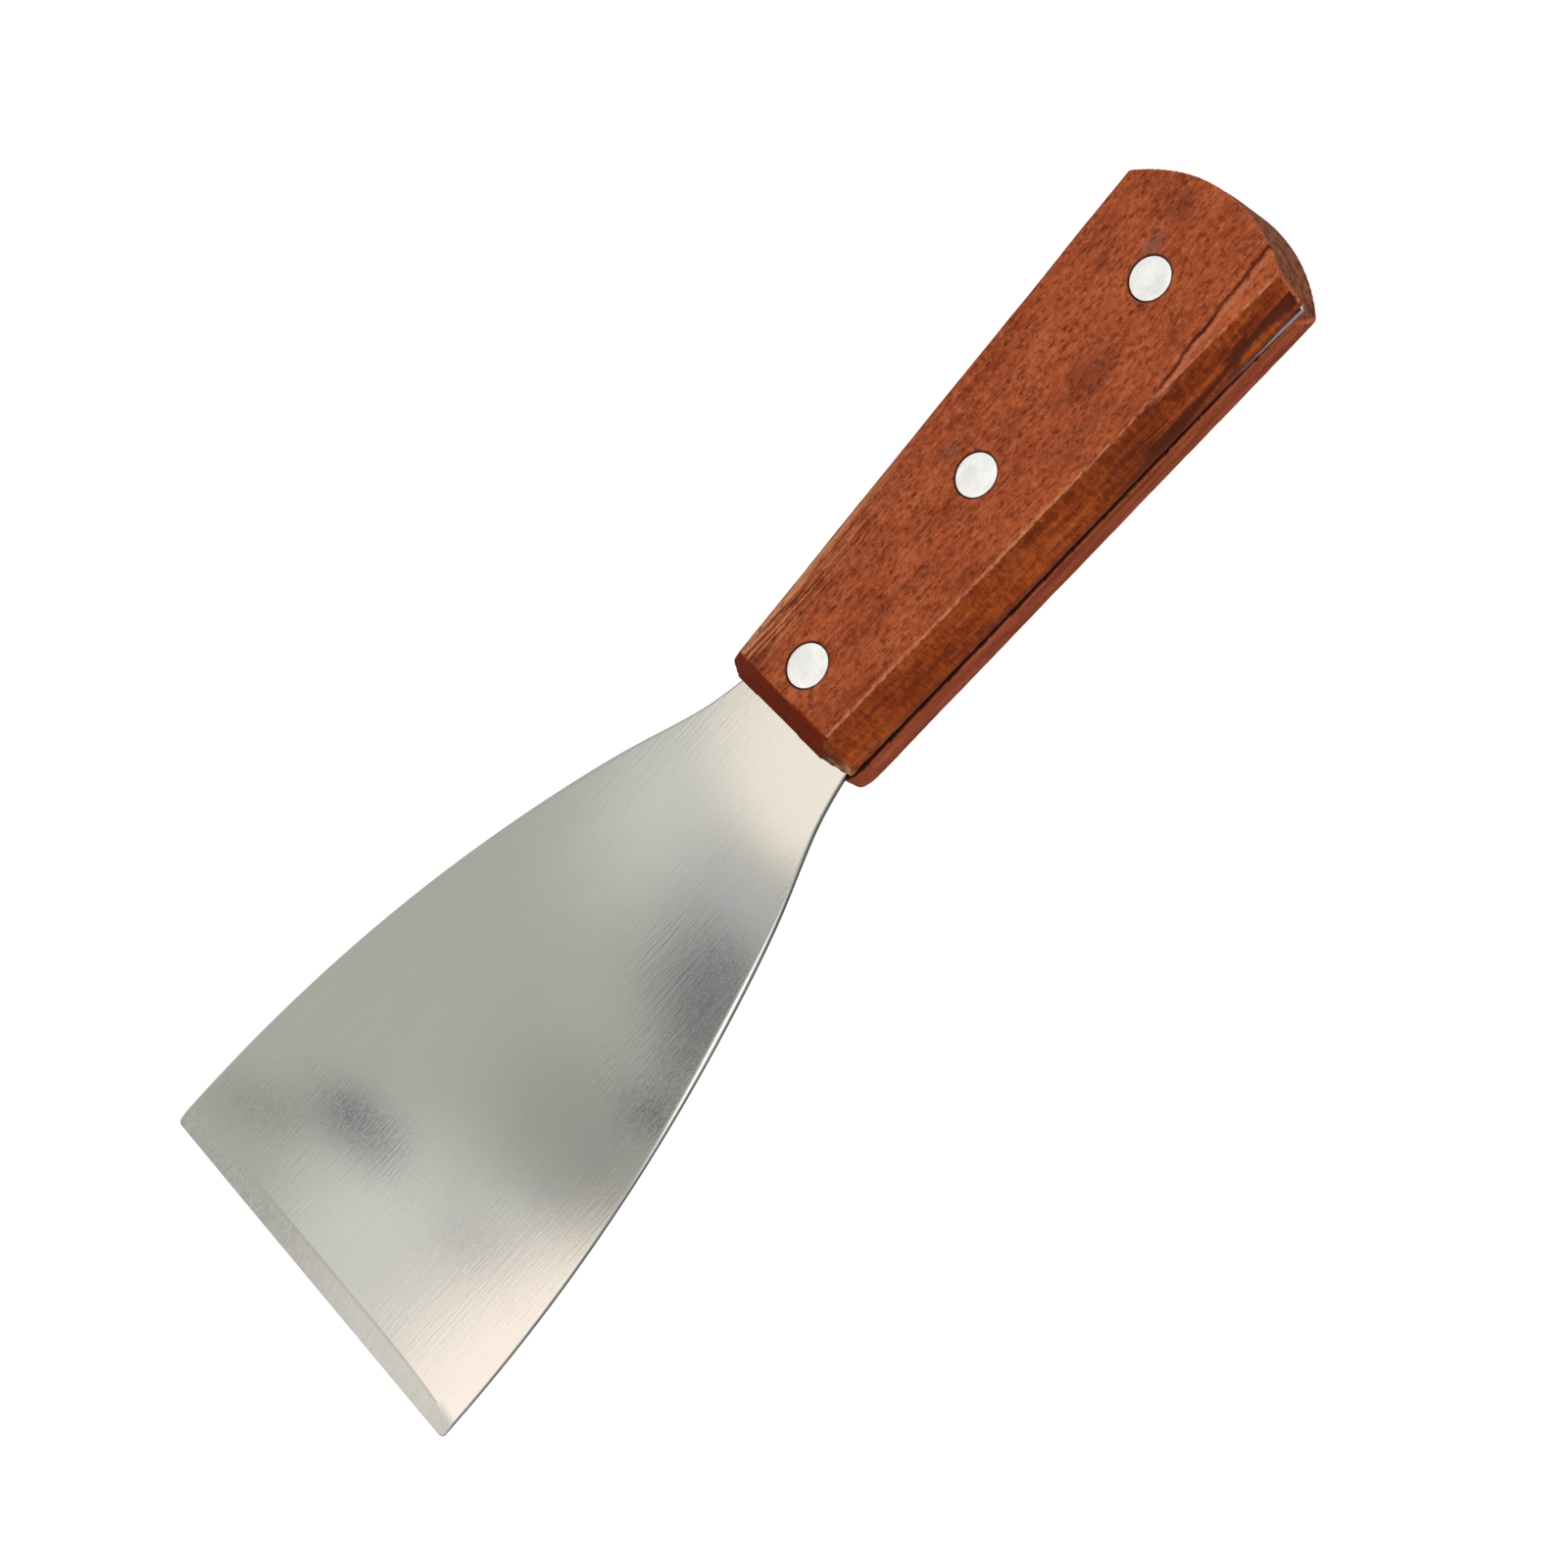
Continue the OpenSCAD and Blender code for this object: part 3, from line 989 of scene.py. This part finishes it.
def flecks(n, place, cells, size, chance, channel):
    """Scattered short marks: the share of cells that hold one falls with chance."""
    spots = n.add("TexVoronoi", {"Vector": n.stretch(cells, place),
                  "Scale": 1.0, "Randomness": 1.0}, feature="F1")
    picked = n.step(n.part(channel, spots.outputs["Color"]), chance, chance + 0.1)
    return n.times(n.step(spots.outputs["Distance"], size, size * 0.4), picked)


def wood_material():
    n = Nodes("oiled_reddish_wood")
    # fibres wander a little across the handle
    grain = n.wander(n.mm, (0.03, 0.05, 0.05), 2.0, 0.5, (0.0, 3.0, 3.0))
    fibre = n.noise((0.16, 2.4, 2.4), 5.0, 0.7, grain)
    mottle = n.noise((0.75, 1.15, 1.15), 5.0, 0.72, grain)
    cross = n.noise((1.1, 0.6, 0.5), 4.0, 0.70, n.turn(12.0))
    face = broad_face(n, grain, fibre, mottle)
    side = sanded_side(n, grain, fibre, cross)
    colour = n.mix(n.attribute("side"), face, side)

    # end grain
    speck = n.noise((2.2, 2.2, 2.2), 4.0, 0.6)
    front = n.ramp(speck, [(0.35, (0.130, 0.012, 0.002)), (0.68, (0.245, 0.029, 0.006))])
    coarse = n.noise((0.7, 0.7, 0.7), 5.0, 0.7)
    butt = n.ramp(coarse, [(0.38, (0.070, 0.022, 0.011)), (0.62, (0.225, 0.078, 0.036))])
    colour = n.mix(n.attribute("front"), colour, front)
    colour = n.mix(n.attribute("butt"), colour, butt)

    # open pores and torn fibres, with ragged outlines
    ragged = n.wander(grain, (1.0, 1.6, 1.6), 3.0, 0.6, (1.6, 0.7, 0.7))
    long_pores = flecks(n, ragged, (0.50, 1.7, 1.7), 0.40, 0.50, 0)
    short_pores = flecks(n, ragged, (1.3, 3.4, 3.4), 0.42, 0.42, 1)
    pores = n.math("MAXIMUM", long_pores, n.times(short_pores, 0.75))
    crowding = n.noise((0.16, 0.30, 0.30), 3.0, 0.6, grain)
    pores = n.times(pores, n.range(n.step(crowding, 0.38, 0.56), 0.15, 1.0))
    colour = n.tint(colour, pores, 0.68, (0.080, 0.014, 0.006))
    pale = flecks(n, ragged, (0.9, 2.6, 2.6), 0.34, 0.76, 2)
    pale = n.times(pale, n.math("SUBTRACT", 1.0, n.attribute("side")))
    colour = n.tint(colour, pale, 0.50, (0.56, 0.21, 0.10))

    # edges worn pale, and partly a painted highlight along their rounded edges
    wear = n.attribute("wear")
    patchy = n.noise((0.8, 1.6, 1.6), 4.0, 0.7)
    ragged_wear_and_highlight = n.times(n.math("SUBTRACT", patchy, 0.5), 1.9)
    ragged_wear_and_highlight = n.times(n.plus(ragged_wear_and_highlight, wear), n.step(wear, 0.0, 0.3))
    colour = n.tint(colour, n.step(ragged_wear_and_highlight, 0.30, 0.95), 0.68, (0.54, 0.210, 0.105))
    # painted highlight along the butt's rounded edges, in a redder tone
    butt_edge_highlight = n.times(n.attribute("butt"), n.step(wear, 0.0, 0.40))
    colour = n.mix(butt_edge_highlight, colour, (0.36, 0.062, 0.020))
    # the inner faces are painted dark as shade in the slit, less dark on the ledge that shows
    # at the butt
    slit_shade = n.mix(n.step(n.part(0), BUTT_X + 8.0, BUTT_X + 5.0), (0.040, 0.011, 0.006),
                 (0.120, 0.036, 0.016))
    colour = n.mix(n.attribute("inner"), colour, slit_shade)
    colour = sanding_groove(n, colour)

    # painted shadow: a dark ring round each rivet head, on the wood at the edge of its
    # counterbore
    for rivet in RIVETS.values():
        reach = rivet["head_r"] + HEAD_GAP
        ring = n.step(n.away(rivet["centre"]), reach + 0.30, reach + 0.02)
        colour = n.tint(colour, ring, 0.9, (0.045, 0.008, 0.005))

    # the end grain and the lower scale are duller
    rough = n.plus(n.range(fibre, 0.45, 0.60), n.times(pores, 0.15))
    matt = n.math("MAXIMUM", n.attribute("front"), n.attribute("butt"))
    matt = n.math("MAXIMUM", matt, n.step(n.part(2), BLADE_MID_Z, BLADE_MID_Z - 0.3))
    rough = n.math("ADD", rough, n.times(matt, 0.35), clamp=True)
    relief = n.plus(n.math("SUBTRACT", n.times(fibre, 0.5), pores), n.times(cross, 0.45),
                    n.times(mottle, 0.8), n.times(pale, 0.5))
    normal = n.bump(relief, 0.12, 0.9)
    return n.finish({
        "Base Color": colour,
        "Roughness": rough,
        "Normal": normal,
        "IOR": 1.47,
        "Specular IOR Level": 0.04,
    })


def steel_material():
    n = Nodes("brushed_steel")
    on_bevel = n.attribute("bevel")
    on_painted_dark_rim = n.attribute("rim")
    # hairlines from brushing, in two widths, and short grinding marks on the bevel
    hair = n.noise((0.07, 5.0, 2.0), 4.0, 0.62)
    hair_wide = n.noise((0.14, 2.0, 0.6), 4.0, 0.72)
    ground = n.noise((0.9, 3.6, 2.0), 3.0, 0.65, n.turn(-3.0))

    tone = n.noise((0.018, 0.03, 0.03), 3.0, 0.55)
    colour = n.ramp(tone, [(0.3, (0.478, 0.476, 0.452)), (0.7, (0.520, 0.514, 0.486))])
    colour = n.tint(colour, n.step(hair, 0.35, 0.65), 0.12, (0.62, 0.62, 0.60))
    bevel = n.ramp(ground, [(0.35, (0.41, 0.41, 0.39)), (0.65, (0.55, 0.545, 0.52))])
    # painted reflection: the bevel made lighter towards +Y
    bevel = n.tint(bevel, n.step(n.part(1), -16.0, 10.0), 0.55, (0.66, 0.655, 0.635))
    colour = n.mix(on_bevel, colour, bevel)
    # painted dark reflection on the rim's upright faces
    colour = n.tint(colour, on_painted_dark_rim, 0.95, (0.060, 0.055, 0.052))
    # the tang's edge: dull grey at the butt, and painted shade inside the slit, where it is
    # made near black
    x = n.part(0)
    tang = n.mix(n.step(x, -79.0, -74.0), (0.20, 0.205, 0.21), (0.040, 0.018, 0.013))
    inside = n.times(n.step(x, FRONT_X - 0.2, FRONT_X - 0.6), on_painted_dark_rim)
    colour = n.mix(inside, colour, tang)

    rough = n.plus(n.range(hair_wide, 0.055, 0.088), n.times(on_bevel, 0.20),
                   n.times(inside, 0.1), n.times(on_painted_dark_rim, 0.2))
    relief = n.plus(n.times(hair, 0.16), hair_wide, n.times(ground, on_bevel, 0.5))
    normal = n.bump(relief, 0.0105, 1.0)
    tangent = n.add("Tangent", direction_type="UV_MAP", uv_map="brushing").outputs[0]
    return n.finish({
        "Base Color": colour,
        "Metallic": 1.0,
        "Roughness": rough,
        "Anisotropic": 0.2,
        "Tangent": tangent,
        "Normal": normal,
    })


def rivet_material():
    n = Nodes("sanded_aluminium")
    sand = n.noise((0.9, 9.0, 3.0), 3.0, 0.6, n.turn(32.0))
    other = n.noise((0.9, 9.0, 3.0), 3.0, 0.6, n.turn(-41.0))
    hatch = n.times(sand, other)
    dull = n.noise((0.35, 0.35, 0.35), 3.0, 0.6)
    colour = n.ramp(dull, [(0.38, (0.80, 0.795, 0.775)), (0.62, (0.95, 0.94, 0.92))])
    colour = n.tint(colour, n.step(hatch, 0.30, 0.18), 0.30, (0.66, 0.655, 0.64))
    normal = n.bump(n.plus(sand, other), 0.01, 0.4)
    return n.finish({
        "Base Color": colour,
        "Metallic": 0.35,
        "Roughness": n.range(hatch, 0.42, 0.58),
        "Normal": normal,
    })


# ---- studio
# camera: degrees, metres from the target, and a long lens on a 36 mm sensor
AZIMUTH, ELEVATION, ROLL = 193.77, 53.393, 59.57
TARGET = Vector((2.62, 5.34, 8.2)) * MM
DISTANCE = 1.4569
LENS = 224.3
SENSOR_W = 36


def make_camera():
    turn, rise, roll = (math.radians(a) for a in (AZIMUTH, ELEVATION, ROLL))
    back = Vector((math.sin(turn) * math.cos(rise), -math.cos(turn) * math.cos(rise),
                   math.sin(rise)))
    level = Vector((0, 0, 1)).cross(back).normalized()
    upright = back.cross(level)
    right = level * math.cos(roll) - upright * math.sin(roll)
    up = back.cross(right)
    camera = link_object("camera", bpy.data.cameras.new("camera"))
    camera.data.lens = LENS
    camera.data.sensor_width = SENSOR_W
    camera.data.clip_start, camera.data.clip_end = 0.05, 20
    place = Matrix((right, up, back)).transposed().to_4x4()
    place.translation = TARGET + back * DISTANCE
    camera.matrix_world = place
    bpy.context.scene.camera = camera
    return camera


def area_light(name, place, aim, size, watts, colour=(1, 1, 1)):
    light = bpy.data.lights.new(name, "AREA")
    light.shape = "SQUARE"
    light.size = size
    light.energy = watts
    light.color = colour
    lamp = link_object(name, light)
    lamp.location = place
    lamp.rotation_mode = "QUATERNION"
    lamp.rotation_quaternion = (Vector(aim) - Vector(place)).to_track_quat("-Z", "Y")
    return lamp


FLOOR_HALF = 3000
FLOOR_GLOW = 0.93
FLOOR_ALBEDO = 0.2
FLOOR_DROP = 0.0002


def level_square(name, half, material):
    corners = [(-half, -half, 0), (half, -half, 0), (half, half, 0), (-half, half, 0)]
    square = new_object(name, corners, [(0, 1, 2, 3)])
    square.data.materials.append(material)
    return square


def make_floor():
    """A white floor that glows enough to hide the knife's shadow."""
    n = Nodes("white_floor")
    glow = n.add("Emission", {"Color": (1, 1, 1, 1), "Strength": FLOOR_GLOW})
    matt = n.add("BsdfDiffuse", {"Color": (FLOOR_ALBEDO,) * 3 + (1,)})
    both = n.add("AddShader", {0: glow.outputs[0], 1: matt.outputs[0]})
    n.tree.links.new(both.outputs[0], n.output.inputs["Surface"])
    floor = level_square("floor", FLOOR_HALF, n.material)
    floor.location.z = -FLOOR_DROP


CEILING_Z = 0.16
CEILING_HALF = 1500
CEILING_TONE = (0.755, 0.755, 0.700)
# Lighter and darker parts of the reflector: the middle of each one's mirror image
# on the blade, its reach along and across its heading, the heading and its tone.
REFLECTIONS = (
    ((15, -8), (34, 23), 0, 1.0, (1.12, 1.13, 1.10)),
    ((-7, 10), (23.5, 31), 0, 0.38, (1.68, 1.54, 1.40)),
    ((62, 18), (26, 17), 90, 0.9, (0.60, 0.60, 0.57)),
    ((60, 28), (12, 7), 0, 1.0, (0.45, 0.45, 0.44)),
    ((100, 6), (31, 28), 0, 0.7, (1.12, 1.12, 1.08)),
    ((78, 22), (10, 6), -20, 1.0, (1.28, 1.28, 1.26)),
    ((85, 17), (9, 3.5), -15, 1.0, (0.70, 0.72, 0.76)),
    ((72, 24), (4, 6), -30, 1.0, (0.66, 0.67, 0.69)),
    ((96, 46), (42, 29), -22, 0.4, (1.95, 1.74, 1.60)),
    ((20, 14), (8, 8), 20, 1.0, (0.95, 0.99, 1.10)),
    ((25, 12), (9, 3), 8, 0.8, (0.44, 0.48, 0.54)),
    ((33, 15), (10, 4), 12, 0.8, (0.38, 0.41, 0.46)),
    ((34.5, 23.5), (15, 7.5), 27, 0.35, (0.25, 0.26, 0.29)),
    ((48, 22), (5, 5.5), 0, 0.7, (0.80, 0.80, 0.78)),
    ((44, 27), (3.5, 5.5), 40, 0.6, (0.12, 0.13, 0.14)),
    ((50.5, 28.5), (5, 6.5), 20, 0.6, (0.0, 0.0, 0.02)),
    ((86, -12.5), (5.6, 8), 0, 0.7, (0.04, 0.08, 0.16)),
    ((88, -6), (5, 6), 0, 1.0, (0.42, 0.43, 0.46)),
    ((96, -27.5), (15, 2.6), -50, 0.8, (0.24, 0.24, 0.24)),
    ((15, 95), (38, 50), 0, 0.8, (2.70, 2.70, 2.65)),
)


def make_ceiling(camera):
    """A low grey reflector that only gloss sees, which draws the blade's shading."""
    n = Nodes("grey_reflector")
    level = CEILING_TONE
    eye = camera.matrix_world.translation / MM
    grow = 1 + (CEILING_Z / MM - TANG_TOP_Z) / (eye.z - TANG_TOP_Z)
    for (x, y), (along, across), heading, softness, tone in REFLECTIONS:
        middle = (eye.x + (x - eye.x) * grow, eye.y + (y - eye.y) * grow, 0)
        place = n.vector("SUBTRACT", n.mm, middle)
        mark = n.spot((0, 0), (along * grow, across * grow), n.turn(-heading, place), softness)
        level = n.mix(mark, level, tone)
    glow = n.add("Emission", {"Color": level, "Strength": 1.0}).outputs[0]
    n.tree.links.new(glow, n.output.inputs["Surface"])
    ceiling = level_square("ceiling", CEILING_HALF, n.material)
    ceiling.location.z = CEILING_Z
    ceiling.visible_camera = False
    ceiling.visible_diffuse = False
    ceiling.visible_shadow = False
    ceiling.visible_transmission = False


def make_world():
    world = bpy.data.worlds.new("studio")
    world.use_nodes = True
    sky = world.node_tree.nodes["Background"]
    sky.inputs["Color"].default_value = (1, 1, 1, 1)
    sky.inputs["Strength"].default_value = 0.5
    bpy.context.scene.world = world


def make_studio():
    camera = make_camera()
    make_world()
    make_floor()
    make_ceiling(camera)
    area_light("key", (-0.9, 0.35, 1.25), (0, 0, 0), 0.9, 12.0)
    area_light("fill", (0.15, 1.3, 0.75), (0, 0, 0), 0.9, 7.0)
    scene = bpy.context.scene
    scene.view_settings.view_transform = "Standard"
    scene.view_settings.look = "None"


# ---- build
wood = wood_material()
steel = steel_material()
make_rivets(rivet_material())
make_scale("upper_handle_scale", "upper_scale", upper_scale_shape(), UPPER_LOW, UPPER_HIGH,
           rivet_cutters(UPPER_HIGH[2], UPPER_HIGH[2] - HEAD_T, UPPER_LOW[2]), wood)
make_scale("lower_handle_scale", "lower_scale", lower_scale_shape(), LOWER_LOW, LOWER_HIGH,
           rivet_cutters(LOWER_LOW[2], LOWER_LOW[2] + HEAD_T, LOWER_HIGH[2]), wood)
make_blade(steel)
make_studio()
